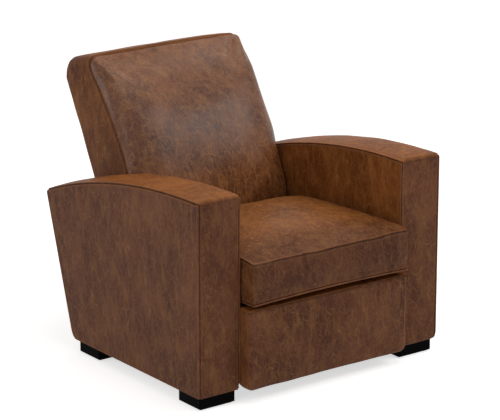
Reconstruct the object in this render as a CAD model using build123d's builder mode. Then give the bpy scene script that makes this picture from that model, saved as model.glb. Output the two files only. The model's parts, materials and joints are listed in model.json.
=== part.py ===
"""Cinema recliner seat: upholstered arms on a timber base, a seat deck that glides forward in
inclined tracks, a hinged back and a footrest on a scissor linkage. Millimetres, Z up, front at -Y."""

import os
from math import cos, radians, sin, sqrt

from build123d import *

os.makedirs("parts", exist_ok=True)

# ---------------------------------------------------------------- driving dimensions
middle_y = 442.0            # the arm fronts stand this far ahead of the origin
arm_inner = 302.0           # half of the room between the arms
arm_outer = 450.0           # half of the overall width
arm_bottom = 38.0
arm_wall = 14.0             # leather and foam over the timber
arm_arch_radius = 2090.0
arm_arch_y = 45.0
arm_arch_top = 633.0
arm_rear_top_y = 805.0
arm_rear_foot_y = 669.0
panel_thick = 18.0

foot_x = 376.5
foot_y = (64.5, 593.5)
foot_wide = 127.0
foot_long = 107.0
glide_thick = 3.0

rail_low = 45.0
rail_high = 105.0
base_front_y = 225.0
base_rear_y = 648.0
board_thick = 25.0
side_board = 22.0

track_slope = 6.0
track_y = 315.0
track_z = 244.7
track_half = 195.0
track_inside = 26.0
stop_tab = 30.0

deck_front_y = -51.0
deck_front_z = 306.0
deck_slope = 2.2
cushion_long = 562.0
cushion_half = 290.0
cushion_high = 126.0

plate_inner = 282.0
plate_outer = 285.0
front_hinge = (75.0, 256.0)
rear_hinge = (150.0, 242.0)
back_hinge = (600.0, 262.0)
link_length = 190.0
link_angle = 107.0          # the footrest links hang this far round from straight ahead
panel_hinge = (42.0, 200.0)
link_lift = 60.0            # spacing of the second pair of link pivots
link_half = 10.0

back_half = 287.0
back_wall = 10.0
notch_half = 266.0
notch_top = 312.0
notch_rear = 640.0
rear_line = ((657.0, 234.0), (957.0, 849.2))
back_front_top = (809.0, 889.0)
back_rear_round = 38.0

track_angle = radians(track_slope)
deck_angle = radians(deck_slope)


# ---------------------------------------------------------------- planes and small helpers
def side_plane(x):
    """Upright plane square to the width; drawn in y and z."""
    return Plane(origin=(x, -middle_y, 0), x_dir=(0, 1, 0), z_dir=(1, 0, 0))


def front_plane(y):
    """Upright plane facing the front; drawn in x and z."""
    return Plane(origin=(0, y - middle_y, 0), x_dir=(1, 0, 0), z_dir=(0, -1, 0))


def floor_plane(z):
    """Level plane; drawn in x and y."""
    return Plane(origin=(0, -middle_y, z), x_dir=(1, 0, 0), z_dir=(0, 0, 1))


def deck_point(along, up):
    """A point of the seat deck as y and z."""
    y = deck_front_y + along * cos(deck_angle) + up * sin(deck_angle)
    z = deck_front_z - along * sin(deck_angle) + up * cos(deck_angle)
    return y, z


def deck_plane(up):
    """Plane parallel to the sloping deck; drawn across and along."""
    y, z = deck_point(0, up)
    return Plane(origin=(0, y - middle_y, z), x_dir=(1, 0, 0), z_dir=(0, sin(deck_angle), cos(deck_angle)))


def deck_section(along):
    """Plane across the sloping deck; drawn across and up."""
    y, z = deck_point(along, 0)
    return Plane(origin=(0, y - middle_y, z), x_dir=(1, 0, 0), z_dir=(0, -cos(deck_angle), sin(deck_angle)))


def track_point(along, up):
    """A point of the inclined track as y and z, measured from its middle."""
    y = track_y + along * cos(track_angle) + up * sin(track_angle)
    z = track_z - along * sin(track_angle) + up * cos(track_angle)
    return y, z


def start(side, near, far):
    """Lower x of a slab that lies between two distances from the middle."""
    if side > 0:
        return near
    return -far


def slab(side, near, far, points):
    """Flat piece with a straight-sided outline between two distances from the middle."""
    with BuildPart() as piece:
        with BuildSketch(side_plane(start(side, near, far))):
            with BuildLine():
                Polyline(*points, close=True)
            make_face()
        extrude(amount=far - near)
    return piece.part


def rods(side, near, far, points, radius):
    """Round pieces along the width at the given y and z places."""
    with BuildPart() as piece:
        with BuildSketch(side_plane(start(side, near, far))):
            with Locations(*points):
                Circle(radius)
        extrude(amount=far - near)
    return piece.part


def link_shape(side, near, far, ends, half):
    """Flat link with round ends."""
    (y0, z0), (y1, z1) = ends
    length = sqrt((y1 - y0) ** 2 + (z1 - z0) ** 2)
    with BuildPart() as piece:
        with BuildSketch(side_plane(start(side, near, far))):
            with BuildLine():
                offset_y = -(z1 - z0) / length * half
                offset_z = (y1 - y0) / length * half
                first = Line((y0 + offset_y, z0 + offset_z), (y1 + offset_y, z1 + offset_z))
                second = Line((y1 - offset_y, z1 - offset_z), (y0 - offset_y, z0 - offset_z))
                far_y = y1 + (y1 - y0) / length * half
                far_z = z1 + (z1 - z0) / length * half
                near_y = y0 - (y1 - y0) / length * half
                near_z = z0 - (z1 - z0) / length * half
                ThreePointArc(first @ 1, (far_y, far_z), second @ 0)
                ThreePointArc(second @ 1, (near_y, near_z), first @ 0)
            make_face()
        extrude(amount=far - near)
    return piece.part


def joined(label, *pieces):
    """Several solids kept as one named piece."""
    with BuildPart() as group:
        add(pieces[0])
        for piece in pieces[1:]:
            add(piece)
    group.part.label = label
    return group.part


def cut(body, *tools):
    """A body with other shapes taken out of it."""
    with BuildPart() as result:
        add(body)
        for tool in tools:
            add(tool, mode=Mode.SUBTRACT)
    return result.part


def save(piece, label):
    piece.label = label
    export_step(piece, f"parts/{label}.step")


sides = ((1, "right"), (-1, "left"))


# ---------------------------------------------------------------- fastener places, as y and z
track_screw_places = (
    track_point(-track_half - stop_tab / 2, 0),
    track_point(0, 0),
    track_point(track_half + stop_tab / 2, 0),
)
rail_bolt_places = ((300.0, 75.0), (560.0, 75.0))
foot_bolt_offsets = (-35.0, 35.0)
seat_screw_places = (deck_point(160, -15), deck_point(330, -15), deck_point(560, -15))
tube_place = (520.0, 230.0)


# ---------------------------------------------------------------- arms
def arch_height(y):
    return arm_arch_top - arm_arch_radius + sqrt(arm_arch_radius ** 2 - (y - arm_arch_y) ** 2)


def arm_outline(x, inset):
    """Side outline of an arm at one x, drawn in all round by an inset."""
    with BuildSketch(side_plane(x)) as outline:
        with BuildLine():
            front_top = (0, arch_height(0))
            rear_top = (arm_rear_top_y, arch_height(arm_rear_top_y))
            ThreePointArc(front_top, (400, arch_height(400)), rear_top)
            Polyline(rear_top, (arm_rear_foot_y, arm_bottom), (0, arm_bottom), front_top)
        make_face()
        fillet(outline.vertices().group_by(Axis.Y)[0].sort_by(Axis.X)[-1], radius=35)
        sharp = outline.vertices().sort_by(Axis.X)
        fillet([sharp[0], sharp[1], sharp[-1]], radius=17)
        if inset > 0:
            offset(amount=-inset)
    return outline.sketch


for side, name in sides:
    outer = arm_outline(start(side, arm_inner, arm_outer), 0)
    hollow_near = arm_inner + arm_wall
    hollow_far = arm_outer - arm_wall
    inner = arm_outline(start(side, hollow_near, hollow_far), arm_wall)
    screw_holes = rods(side, arm_inner - 1, arm_inner + arm_wall + 1, track_screw_places, 2.55)
    bolt_holes = rods(side, arm_inner - 1, arm_inner + arm_wall + 1, rail_bolt_places, 4.05)
    foot_x_places = [side * foot_x + shift for shift in foot_bolt_offsets]

    with BuildPart() as arm_cover:
        extrude(outer, amount=arm_outer - arm_inner)
        flanks = arm_cover.faces().filter_by(Axis.X)
        fillet(flanks.edges(), radius=10)
        extrude(inner, amount=hollow_far - hollow_near, mode=Mode.SUBTRACT)
        add(screw_holes, mode=Mode.SUBTRACT)
        add(bolt_holes, mode=Mode.SUBTRACT)
        with BuildSketch(floor_plane(arm_bottom - 1)):
            with Locations(*[(x, y) for x in foot_x_places for y in foot_y]):
                Circle(4.05)
        extrude(amount=arm_wall + 2, mode=Mode.SUBTRACT)
    save(arm_cover.part, f"arm_cover_{name}")

    pocket_near = hollow_near + panel_thick
    pocket = arm_outline(start(side, pocket_near, hollow_far), arm_wall + 45)
    with BuildPart() as timber_pocket:
        extrude(pocket, amount=hollow_far - pocket_near)
        with BuildSketch(side_plane(start(side, pocket_near, hollow_far))):
            with Locations((380, 330)):
                Rectangle(45, 700)
        extrude(amount=hollow_far - pocket_near, mode=Mode.SUBTRACT)
    with BuildPart() as arm_frame:
        extrude(inner, amount=hollow_far - hollow_near)
        add(timber_pocket.part, mode=Mode.SUBTRACT)
        add(rods(side, hollow_near - 1, hollow_near + 14.05, track_screw_places, 2.55), mode=Mode.SUBTRACT)
        add(rods(side, hollow_near - 1, hollow_near + 14.05, rail_bolt_places, 4.05), mode=Mode.SUBTRACT)
        with BuildSketch(floor_plane(arm_bottom + arm_wall - 1)):
            with Locations(*[(x, y) for x in foot_x_places for y in foot_y]):
                Circle(4.05)
        extrude(amount=24.05, mode=Mode.SUBTRACT)
    save(arm_frame.part, f"arm_frame_{name}")


# ---------------------------------------------------------------- feet
for side, name in sides:
    for y, place in zip(foot_y, ("front", "rear")):
        with BuildPart() as foot:
            with BuildSketch(floor_plane(glide_thick)):
                with Locations((side * foot_x, y)):
                    RectangleRounded(foot_wide, foot_long, 3)
            extrude(amount=arm_bottom - glide_thick)
            bottom_edges = foot.faces().sort_by(Axis.Z)[0].edges()
            chamfer(bottom_edges, length=1.5)
            bolt_spots = [(side * foot_x + shift, y) for shift in foot_bolt_offsets]
            with BuildSketch(floor_plane(glide_thick)):
                with Locations(*bolt_spots):
                    Circle(4.05)
            extrude(amount=60, mode=Mode.SUBTRACT)
            with BuildSketch(floor_plane(glide_thick)):
                with Locations(*bolt_spots):
                    Circle(8.5)
            extrude(amount=8, mode=Mode.SUBTRACT)
        save(foot.part, f"foot_{place}_{name}")

foot_centres = [(side * foot_x, y) for side, name in sides for y in foot_y]
with BuildPart() as foot_glides:
    with BuildSketch(floor_plane(0)):
        with Locations(*foot_centres):
            RectangleRounded(foot_wide - 12, foot_long - 12, 4)
    extrude(amount=glide_thick)
save(foot_glides.part, "foot_glides")

bolt_centres = [(x + shift, y) for x, y in foot_centres for shift in foot_bolt_offsets]
with BuildPart() as foot_bolts:
    with BuildSketch(floor_plane(glide_thick + 2)):
        with Locations(*bolt_centres):
            RegularPolygon(7.5, 6)
    extrude(amount=6)
    with BuildSketch(floor_plane(glide_thick + 8)):
        with Locations(*bolt_centres):
            Circle(4)
    extrude(amount=64)
save(foot_bolts.part, "foot_bolts")


# ---------------------------------------------------------------- base box between the arms
def cross_rail(label, front, rear):
    """Timber rail across the base between the side boards."""
    with BuildPart() as rail:
        with BuildSketch(floor_plane(rail_low)):
            with Locations((0, (front + rear) / 2)):
                Rectangle(2 * (arm_inner - side_board), rear - front)
        extrude(amount=rail_high - rail_low)
    save(rail.part, label)


cross_rail("base_rail_front", base_front_y, base_front_y + board_thick)
cross_rail("base_rail_rear", base_rear_y - board_thick, base_rear_y)

for side, name in sides:
    board = slab(side, arm_inner - side_board, arm_inner,
                 ((base_front_y, rail_low), (base_rear_y, rail_low),
                  (base_rear_y, rail_high), (base_front_y, rail_high)))
    board = cut(board, rods(side, arm_inner - side_board - 1, arm_inner + 1, rail_bolt_places, 4.05))
    save(board, f"base_side_rail_{name}")

rail_bolt_parts = []
for side, name in sides:
    rail_bolt_parts.append(rods(side, arm_inner - side_board - 5, arm_inner - side_board, rail_bolt_places, 7.5))
    rail_bolt_parts.append(rods(side, arm_inner - side_board, arm_inner + 28, rail_bolt_places, 4))
save(joined("rail_bolts", *rail_bolt_parts), "rail_bolts")


def rear_slope(z, inset):
    """Point set in from the sloping rear edge of the arms at one height."""
    run = (arm_rear_top_y - arm_rear_foot_y) / (arch_height(arm_rear_top_y) - arm_bottom)
    return arm_rear_foot_y + run * (z - arm_bottom) - inset * sqrt(1 + run ** 2), z


with BuildPart() as rear_panel_board:
    add(slab(1, -arm_inner, arm_inner,
             (rear_slope(45, 20), rear_slope(288, 20), rear_slope(288, 8), rear_slope(45, 8))))
save(rear_panel_board.part, "rear_panel_board")

with BuildPart() as rear_panel_cover:
    add(slab(1, -arm_inner, arm_inner,
             (rear_slope(45, 8), rear_slope(288, 8), rear_slope(288, 20), rear_slope(292, 20),
              rear_slope(294, 17), rear_slope(294, 5), rear_slope(290, 1), rear_slope(45, 1))))
save(rear_panel_cover.part, "rear_panel_cover")

with BuildPart() as dust_cover:
    with BuildSketch(floor_plane(rail_low - 1.5)):
        with Locations((0, (base_front_y + base_rear_y) / 2)):
            Rectangle(2 * arm_inner - 2, base_rear_y - base_front_y - 2)
    extrude(amount=1.5)
save(dust_cover.part, "dust_cover")


# ---------------------------------------------------------------- inclined tracks
def track_bar(side, near, far, along0, along1, low, high):
    """Straight bar that lies along the slope of the track."""
    return slab(side, near, far, (track_point(along0, low), track_point(along1, low),
                                  track_point(along1, high), track_point(along0, high)))


for side, name in sides:
    half = track_inside / 2 + 2
    with BuildPart() as track:
        add(track_bar(side, 299, arm_inner, -track_half, track_half, -half, half))
        add(track_bar(side, 288, arm_inner, -track_half, track_half, half - 2, half))
        add(track_bar(side, 288, arm_inner, -track_half, track_half, -half, 2 - half))
        add(track_bar(side, 299, arm_inner, -track_half - stop_tab, -track_half, -11, 11))
        add(track_bar(side, 299, arm_inner, track_half, track_half + stop_tab, -11, 11))
        add(rods(side, 298, arm_inner + 1, track_screw_places, 2.55), mode=Mode.SUBTRACT)
    save(track.part, f"track_{name}")

screw_parts = []
for side, name in sides:
    screw_parts.append(rods(side, 296.5, 299, track_screw_places, 5))
    screw_parts.append(rods(side, 299, 330, track_screw_places, 2.5))
save(joined("track_screws", *screw_parts), "track_screws")


# ---------------------------------------------------------------- seat deck
front_glide = track_point(-85, 0)
rear_glide = track_point(160, 0)

for side, name in sides:
    with BuildPart() as seat_rail:
        with BuildSketch(deck_plane(-28)):
            with Locations((side * 266, 341)):
                Rectangle(32, 540)
        extrude(amount=22)
        add(rods(side, plate_inner - 13.05, plate_inner + 1, seat_screw_places, 2.55), mode=Mode.SUBTRACT)
    save(seat_rail.part, f"seat_rail_{name}")

for label, centre in (("seat_rail_front", 77.5), ("seat_rail_rear", 598.5)):
    with BuildPart() as seat_rail:
        with BuildSketch(deck_plane(-28)):
            with Locations((0, centre)):
                Rectangle(500, 25)
        extrude(amount=18)
    save(seat_rail.part, label)


def wave(length, pitch, reach, lead):
    """Zigzag path of a flat spring with bars across its ends, as across and along."""
    turns = int((length - 2 * lead) / pitch)
    step = (length - 2 * lead) / turns
    points = [(-reach, 0), (reach, 0)]
    hand = 1
    place = 0
    for index in range(turns):
        place = lead + index * step
        points.append((hand * reach, place + step * 0.5))
        points.append((-hand * reach, place + step * 0.5))
        hand = -hand
    points.append((hand * reach, length))
    points.append((-hand * reach, length))
    return points


def spring(plane, centre, points, wire):
    """Bent wire spring lying in a plane."""
    placed = [(centre[0] + across, centre[1] + along) for across, along in points]
    with BuildPart() as piece:
        with BuildLine(plane) as path:
            FilletPolyline(*placed, radius=7)
        with BuildSketch(Plane(origin=path.line @ 0, z_dir=path.line % 0)):
            Circle(wire)
        sweep(path=path.line)
    return piece.part


spring_xs = (-192.0, -96.0, 0.0, 96.0, 192.0)
seat_wave = wave(521, 34, 17, 20)
seat_spring_parts = [spring(deck_plane(-8.2), (x, 77.5), seat_wave, 1.7) for x in spring_xs]
save(joined("seat_springs", *seat_spring_parts), "seat_springs")

with BuildPart() as seat_spring_clips:
    with BuildSketch(deck_plane(-10)):
        with Locations(*[(x, along) for x in spring_xs for along in (77.5, 598.5)]):
            Rectangle(14, 12)
    extrude(amount=4)
    for x in spring_xs:
        for along in (77.5, 598.5):
            y, z = deck_point(along, -8.2)
            add(rods(1, x - 8, x + 8, ((y, z),), 1.75), mode=Mode.SUBTRACT)
save(seat_spring_clips.part, "seat_spring_clips")

with BuildPart() as seat_deck_pad:
    with BuildSketch(deck_plane(-6)):
        with Locations((0, 317)):
            Rectangle(2 * plate_inner - 2, 512)
    extrude(amount=6)
save(seat_deck_pad.part, "seat_deck_pad")

# place along the deck, half width, underside, seam height and crown of every section of the seat cushion
cushion_sections = (
    (0.0, 283.0, 4.0, 118.0, 2.0),
    (30.0, 288.0, 0.0, 124.0, 16.0),
    (90.0, 290.0, 0.0, 127.0, 33.0),
    (200.0, 290.0, 0.0, 128.0, 44.0),
    (330.0, 290.0, 0.0, 128.0, 46.0),
    (450.0, 289.0, 0.0, 127.0, 38.0),
    (530.0, 286.0, 0.0, 124.0, 20.0),
    (cushion_long, 281.0, 4.0, 116.0, 4.0),
)
with BuildPart() as seat_cushion:
    for along, half, low, high, crown in cushion_sections:
        with BuildSketch(deck_section(along - 4)):
            with BuildLine():
                shoulder = high + crown * 0.66
                Line((4 - half, low), (half - 4, low))
                ThreePointArc((half - 4, low), (half, (low + high) / 2), (half - 3, high))
                ThreePointArc((half - 3, high), (half - 24, high + crown * 0.4), (half - 62, shoulder))
                ThreePointArc((half - 62, shoulder), (0, high + crown), (62 - half, shoulder))
                ThreePointArc((62 - half, shoulder), (24 - half, high + crown * 0.4), (3 - half, high))
                ThreePointArc((3 - half, high), (-half, (low + high) / 2), (4 - half, low))
            make_face()
    loft()
    with BuildSketch(deck_plane(-20)):
        with Locations((0, 280)):
            Rectangle(700, 700)
    extrude(amount=20, mode=Mode.SUBTRACT)
save(seat_cushion.part, "seat_cushion")

plate_outline = ((48, 291), (560, 273), (600, 282), (600, 242), (560, 206), (430, 203), (300, 220),
                 (190, 228), (130, 224), (60, 238), (48, 246))
pivot_places = (front_hinge, rear_hinge)
for side, name in sides:
    with BuildPart() as seat_plate:
        add(slab(side, plate_inner, plate_outer, plate_outline))
        add(rods(side, plate_inner, plate_outer, (back_hinge,), 20))
        add(rods(side, plate_inner - 1, plate_outer + 1, pivot_places, 5), mode=Mode.SUBTRACT)
        add(rods(side, plate_inner - 1, plate_outer + 1, (front_glide, rear_glide), 5.05), mode=Mode.SUBTRACT)
        add(rods(side, plate_inner - 1, plate_outer + 1, (back_hinge,), 6), mode=Mode.SUBTRACT)
        add(rods(side, plate_inner - 1, plate_outer + 1, seat_screw_places, 2.55), mode=Mode.SUBTRACT)
    save(seat_plate.part, f"seat_plate_{name}")

cross_tube = cut(rods(1, -plate_inner, plate_inner, (tube_place,), 11),
                 rods(1, -plate_inner - 1, plate_inner + 1, (tube_place,), 8.5))
save(cross_tube, "cross_tube")

block_parts = []
stud_parts = []
for side, name in sides:
    for centre in (-85.0, 160.0):
        place = track_point(centre, 0)
        block = track_bar(side, 288.2, 298.8, centre - 30, centre + 30, -12.9, 12.9)
        block_parts.append(cut(block, rods(side, 288, 299, (place,), 5.05)))
        stud_parts.append(rods(side, plate_inner - 2.5, plate_inner, (place,), 8))
        stud_parts.append(rods(side, plate_inner, 298, (place,), 5))
        stud_parts.append(rods(side, plate_outer, 288.2, (place,), 8))
save(joined("glide_blocks", *block_parts), "glide_blocks")
save(joined("glide_studs", *stud_parts), "glide_studs")

pin_parts = []
bolt_parts = []
seat_screw_parts = []
for side, name in sides:
    pin_parts.append(rods(side, 265.5, 268.5, (front_hinge,), 8))
    pin_parts.append(rods(side, 268.5, plate_outer, (front_hinge,), 5))
    pin_parts.append(rods(side, 272.5, plate_inner, (front_hinge,), 8))
    pin_parts.append(rods(side, 275, 277.5, (rear_hinge,), 8))
    pin_parts.append(rods(side, 277.5, plate_outer, (rear_hinge,), 5))
    pin_parts.append(rods(side, 281.5, plate_inner, (rear_hinge,), 8))
    pin_parts.append(rods(side, plate_outer, 287.5, pivot_places, 8))
    bolt_parts.append(rods(side, plate_outer, 290, (back_hinge,), 9))
    bolt_parts.append(rods(side, 272, plate_outer, (back_hinge,), 6))
    bolt_parts.append(rods(side, 275, plate_inner, (back_hinge,), 11))
    bolt_parts.append(rods(side, 268.5, 272, (back_hinge,), 9))
    seat_screw_parts.append(rods(side, plate_outer, 287, seat_screw_places, 5))
    seat_screw_parts.append(rods(side, 269, plate_outer, seat_screw_places, 2.5))
save(joined("link_pivot_pins", *pin_parts), "link_pivot_pins")
save(joined("back_pivot_bolts", *bolt_parts), "back_pivot_bolts")
save(joined("seat_screws", *seat_screw_parts), "seat_screws")


# ---------------------------------------------------------------- backrest
# the seam between the boxed side of the back and its front cushion, as y and z
seam_points = ((532, 290), (544, 410), (557, 464), (575, 497), (598, 553), (617, 604), (640, 643),
               (676, 701), (713, 748), (750, 794.5), (782, 832), (800, 868), back_front_top)


def seam_y(z):
    """Depth of the side seam at one height."""
    for (y0, z0), (y1, z1) in zip(seam_points, seam_points[1:]):
        if z <= z1:
            return y0 + (y1 - y0) * (z - z0) / (z1 - z0)
    return seam_points[-1][0]


def moved(first, second, inset):
    """A line shifted sideways, to the right of its direction."""
    run_y = second[0] - first[0]
    run_z = second[1] - first[1]
    length = sqrt(run_y ** 2 + run_z ** 2)
    shift_y = run_z / length * inset
    shift_z = -run_y / length * inset
    return (first[0] + shift_y, first[1] + shift_z), (second[0] + shift_y, second[1] + shift_z)


def crossing(line, other):
    """Place where two lines meet."""
    (y0, z0), (y1, z1) = line
    (y2, z2), (y3, z3) = other
    spread = (y1 - y0) * (z3 - z2) - (z1 - z0) * (y3 - y2)
    share = ((y2 - y0) * (z3 - z2) - (z2 - z0) * (y3 - y2)) / spread
    return y0 + share * (y1 - y0), z0 + share * (z1 - z0)


def back_side_face(x, inset):
    """Side outline of the boxed back with its rounded rear top, drawn in by an inset."""
    runs = [moved(a, b, inset) for a, b in zip(seam_points, seam_points[1:])]
    top_run = moved(seam_points[-1], rear_line[1], inset)
    rear_run = moved(rear_line[1], rear_line[0], inset)
    low_run = moved(rear_line[0], seam_points[0], inset)
    seam = [crossing(low_run, runs[0])]
    for before, after in zip(runs, runs[1:]):
        seam.append(((before[1][0] + after[0][0]) / 2, (before[1][1] + after[0][1]) / 2))
    seam.append(crossing(runs[-1], top_run))
    rear_top = crossing(top_run, rear_run)
    rear_low = crossing(rear_run, low_run)
    with BuildSketch(side_plane(x)) as outline:
        with BuildLine():
            Spline(*seam)
            Polyline(seam[-1], rear_top, rear_low, seam[0])
        make_face()
        fillet(outline.vertices().sort_by(Axis.X)[-1], radius=back_rear_round - inset)
        fillet(outline.vertices().sort_by(Axis.Y)[0], radius=14 - inset)
    return outline.sketch


def back_front_block(inset, radius):
    """Long block with rounded top corners that lies along the sloping top and trims the back."""
    (front_y, front_z), (rear_y, rear_z) = back_front_top, rear_line[1]
    fall = (front_z - rear_z) / (rear_y - front_y)
    top = front_z + 1 - inset - fall * (1100 - front_y)
    with BuildPart() as block:
        with BuildSketch(front_plane(1100)) as end_face:
            with Locations((0, (top - 200) / 2)):
                Rectangle(2 * (back_half - inset), top + 200)
            fillet(end_face.vertices().group_by(Axis.Y)[-1], radius=radius)
        extrude(amount=700, dir=(0, -1, fall))
    return block.part


def block(x0, x1, y0, y1, z0, z1):
    """Plain box between two corners."""
    with BuildPart() as piece:
        with BuildSketch(floor_plane(z0)):
            with Locations(((x0 + x1) / 2, (y0 + y1) / 2)):
                Rectangle(x1 - x0, y1 - y0)
        extrude(amount=z1 - z0)
    return piece.part


back_trim = back_front_block(0, 24)
back_trim_inner = back_front_block(back_wall, 14)
back_face = back_side_face(-back_half, 0)
back_void_half = back_half - back_wall
back_inner_face = back_side_face(-back_void_half, back_wall)
bracket_slot = (271.95, 275.05)

with BuildPart() as back_outer:
    extrude(back_face, amount=2 * back_half)
    add(back_trim, mode=Mode.INTERSECT)
    for side, name in sides:
        low = start(side, notch_half, 300)
        add(block(low, low + 300 - notch_half, 400, notch_rear, 200, notch_top), mode=Mode.SUBTRACT)

with BuildPart() as back_void:
    extrude(back_inner_face, amount=2 * back_void_half)
    add(back_trim_inner, mode=Mode.INTERSECT)
    for side, name in sides:
        low = start(side, notch_half - back_wall, 300)
        add(block(low, low + 300 - notch_half + back_wall, 400, notch_rear + back_wall, 200,
                  notch_top + back_wall), mode=Mode.SUBTRACT)

slots = []
for side, name in sides:
    low = start(side, bracket_slot[0], bracket_slot[1])
    slots.append(block(low, low + 3.1, 579.95, 620.05, notch_top - 1, notch_top + back_wall + 1))
save(cut(back_outer.part, back_void.part, *slots), "back_cover")

bracket_outline = ((580, 262), (580, 325), (640, 470), (684, 452), (620, 325), (620, 262))
bracket_screw_places = ((618.0, 370.0), (645.0, 410.0), (656.0, 445.0))
for side, name in sides:
    with BuildPart() as back_bracket:
        add(slab(side, 272, 275, bracket_outline))
        add(rods(side, 272, 275, (back_hinge,), 20))
        add(rods(side, 271, 276, (back_hinge,), 6.05), mode=Mode.SUBTRACT)
        add(rods(side, 271, 276, bracket_screw_places, 3.05), mode=Mode.SUBTRACT)
    save(back_bracket.part, f"back_bracket_{name}")

bracket_screw_parts = []
for side, name in sides:
    bracket_screw_parts.append(rods(side, 275, 277, bracket_screw_places, 5.5))
    bracket_screw_parts.append(rods(side, 247, 275, bracket_screw_places, 3))
save(joined("bracket_screws", *bracket_screw_parts), "bracket_screws")

window = ((612, 500), (640, 420), (720, 420), (860, 740), (800, 780), (690, 650))
frame_cutters = [block(-232, 232, 500, 1000, 200, 900)]
for side, name in sides:
    low = start(side, 256, 290)
    frame_cutters.append(block(low, low + 34, 400, notch_rear + back_wall + 1, 200, notch_top + back_wall + 1))
    low = start(side, 272, 290)
    frame_cutters.append(block(low, low + 18, 400, 1000, 200, 1000))
    frame_cutters.append(slab(side, 225, 280, window))
    frame_cutters.append(rods(side, 246.95, 273, bracket_screw_places, 3.05))

rail_outlines = (
    ((553, 313.5), (574.3, 302.4), (596.5, 345), (575.2, 356.1)),
    ((775, 560), (795, 552), (818, 598), (798, 606)),
    ((806, 795), (828, 785), (849, 833), (827, 843)),
)
with BuildPart() as back_frame:
    add(back_void.part)
    for cutter in frame_cutters:
        add(cutter, mode=Mode.SUBTRACT)
    for outline in rail_outlines:
        add(slab(1, -232, 232, outline))
save(back_frame.part, "back_frame")

spring_low = (565.2, 341.0)
spring_top = (808.7, 806.0)
spring_run = sqrt((spring_top[0] - spring_low[0]) ** 2 + (spring_top[1] - spring_low[1]) ** 2)
spring_lean = ((spring_top[0] - spring_low[0]) / spring_run, (spring_top[1] - spring_low[1]) / spring_run)
back_spring_plane = Plane(
    origin=(0, spring_low[0] - middle_y, spring_low[1]),
    x_dir=(1, 0, 0),
    z_dir=(0, -spring_lean[1], spring_lean[0]),
)
back_wave = wave(spring_run, 34, 17, 20)
back_spring_parts = [spring(back_spring_plane, (x, 0), back_wave, 1.7) for x in (-150, -50, 50, 150)]
save(joined("back_springs", *back_spring_parts), "back_springs")

# height, bulge and softness of the edge at every level of the front cushion of the back
back_sections = (
    (300.0, 14.0, 40.0),
    (350.0, 20.0, 40.0),
    (410.0, 28.0, 40.0),
    (480.0, 36.0, 42.0),
    (553.0, 40.0, 42.0),
    (620.0, 44.0, 38.0),
    (690.0, 50.0, 26.0),
    (750.0, 54.0, 16.0),
    (800.0, 52.0, 12.0),
    (845.0, 42.0, 12.0),
    (870.0, 27.0, 14.0),
    (888.0, 8.0, 20.0),
)
with BuildPart() as back_cushion:
    for height, bulge, soft in back_sections:
        rear = seam_y(height)
        half = back_half - 1
        bend = half - 0.6 * soft
        edge = half - 2.2 * soft
        bend_y = rear - 0.45 * bulge
        edge_y = rear - 0.85 * bulge
        with BuildSketch(floor_plane(height)):
            with BuildLine():
                ThreePointArc((half, rear), (bend, bend_y), (edge, edge_y))
                ThreePointArc((edge, edge_y), (0, rear - bulge), (-edge, edge_y))
                ThreePointArc((-edge, edge_y), (-bend, bend_y), (-half, rear))
                Polyline((-half, rear), (-half, rear + 45), (half, rear + 45), (half, rear))
            make_face()
    loft()
    add(back_trim, mode=Mode.INTERSECT)
    add(back_outer.part, mode=Mode.SUBTRACT)
save(back_cushion.part, "back_cushion")


# ---------------------------------------------------------------- footrest linkage
def turned(place, length, degrees):
    """Place reached from a pivot in the hanging direction of the links, as y and z."""
    return (place[0] - length * cos(radians(degrees)), place[1] + length * sin(radians(degrees)))


hang = -link_angle
front_low = turned(front_hinge, link_length, hang)
rear_low = turned(rear_hinge, link_length, hang)
front_mid = turned(front_hinge, link_length - link_lift, hang)
panel_upper = turned(panel_hinge, -link_lift, hang)
tube_spot = turned(front_hinge, 45, hang)
running = 0.05

front_rivets = []
carrier_rivets = []
for side, name in sides:
    front_link = cut(link_shape(side, 268.5, 272.5, (front_hinge, front_low), link_half),
                     rods(side, 268, 273, (front_hinge,), 5 + running),
                     rods(side, 268, 273, (front_low, front_mid), 4))
    save(front_link, f"front_link_{name}")
    rear_link = cut(link_shape(side, 277.5, 281.5, (rear_hinge, rear_low), link_half),
                    rods(side, 277, 282, (rear_hinge,), 5 + running),
                    rods(side, 277, 282, (rear_low,), 4 + running))
    save(rear_link, f"rear_link_{name}")
    carrier = cut(joined("carrier", link_shape(side, 273, 277, (rear_low, front_low), link_half),
                         link_shape(side, 273, 277, (front_low, panel_hinge), link_half)),
                  rods(side, 272, 278, (front_low,), 4 + running),
                  rods(side, 272, 278, (rear_low, panel_hinge), 4))
    save(carrier, f"carrier_link_{name}")
    control = cut(link_shape(side, 264, 268, (front_mid, panel_upper), 9),
                  rods(side, 263, 269, (front_mid, panel_upper), 4 + running))
    save(control, f"control_link_{name}")

    front_rivets.append(rods(side, 268.5, 277, (front_low,), 4))
    front_rivets.append(rods(side, 277, 279.5, (front_low,), 7))
    front_rivets.append(rods(side, 272.5, 273, (front_low,), 6))
    front_rivets.append(rods(side, 264, 272.5, (front_mid,), 4))
    front_rivets.append(rods(side, 261.5, 264, (front_mid,), 7))
    front_rivets.append(rods(side, 268, 268.5, (front_mid,), 6))
    carrier_rivets.append(rods(side, 273, 281.5, (rear_low,), 4))
    carrier_rivets.append(rods(side, 281.5, 283.5, (rear_low,), 7))
    carrier_rivets.append(rods(side, 277, 277.5, (rear_low,), 6))
    carrier_rivets.append(rods(side, 268.5, 277, (panel_hinge,), 4))
    carrier_rivets.append(rods(side, 272.5, 273, (panel_hinge,), 6))
    carrier_rivets.append(rods(side, 266.5, 268.5, (panel_hinge,), 7))
save(joined("front_link_rivets", *front_rivets), "front_link_rivets")
save(joined("carrier_rivets", *carrier_rivets), "carrier_rivets")

link_tube = cut(rods(1, -268.5, 268.5, (tube_spot,), 8), rods(1, -269, 269, (tube_spot,), 6))
save(link_tube, "link_cross_tube")

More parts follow.
